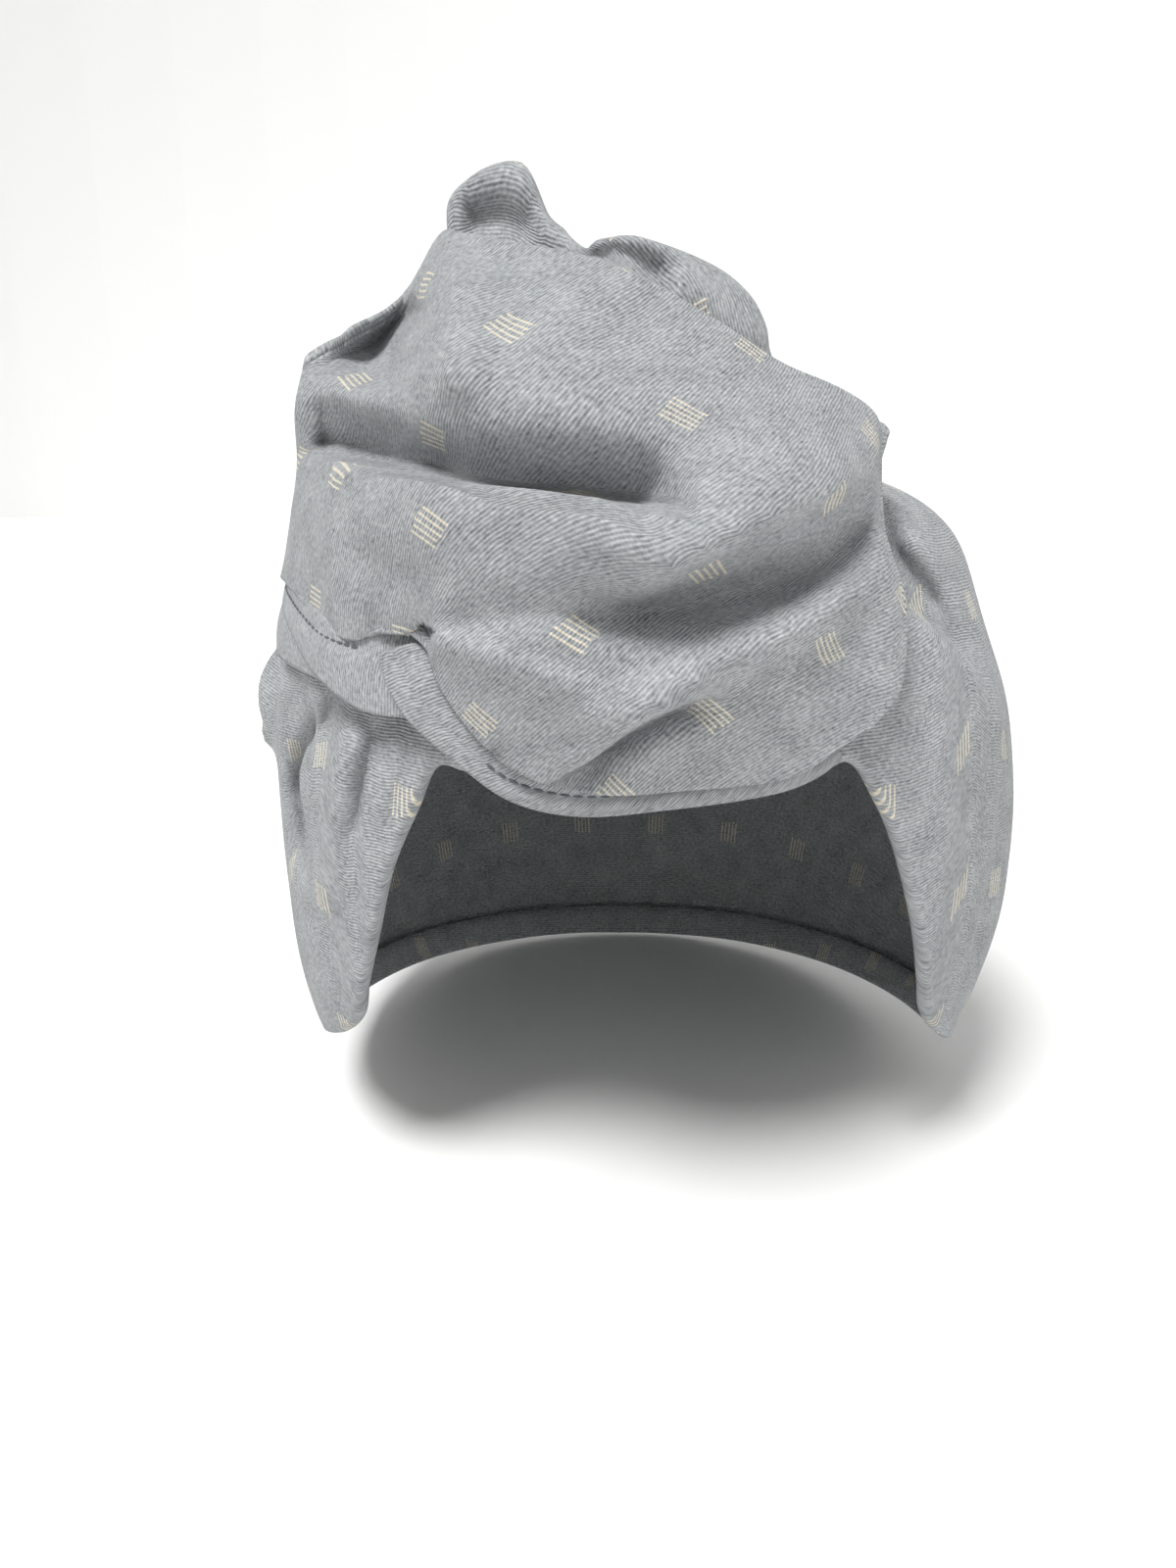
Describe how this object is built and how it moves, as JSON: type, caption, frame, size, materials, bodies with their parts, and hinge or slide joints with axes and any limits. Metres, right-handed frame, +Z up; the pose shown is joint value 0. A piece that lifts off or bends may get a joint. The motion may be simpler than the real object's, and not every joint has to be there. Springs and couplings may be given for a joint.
{
  "type": "turban headwrap",
  "caption": "Pull-on turban headwrap in light blue-grey woven cotton with pale dashes: a fitted cap, a draped puffed front with folds from a knot at the temple, and a standing tucked end.",
  "frame": {"origin": "The mount head_seat, where the crown of a head meets the inside of the cap.", "axes": "+Z is up, -Y is the front over the forehead, +X is the wearer's left."},
  "size_m": [0.1836, 0.2005, 0.2078],
  "materials": {
    "cloth": "matt ribbed cotton, light blue-grey with groups of cream dashes",
    "hem_cloth": "the same matt cotton, doubled and stitched along its edge"
  },
  "bodies": {
    "root": {"cap": "cloth", "front_wrap": "cloth", "back_leaf": "cloth", "hem_band": "hem_cloth", "knot_band": "cloth", "side_tuck": "cloth"}
  },
  "joints": []
}
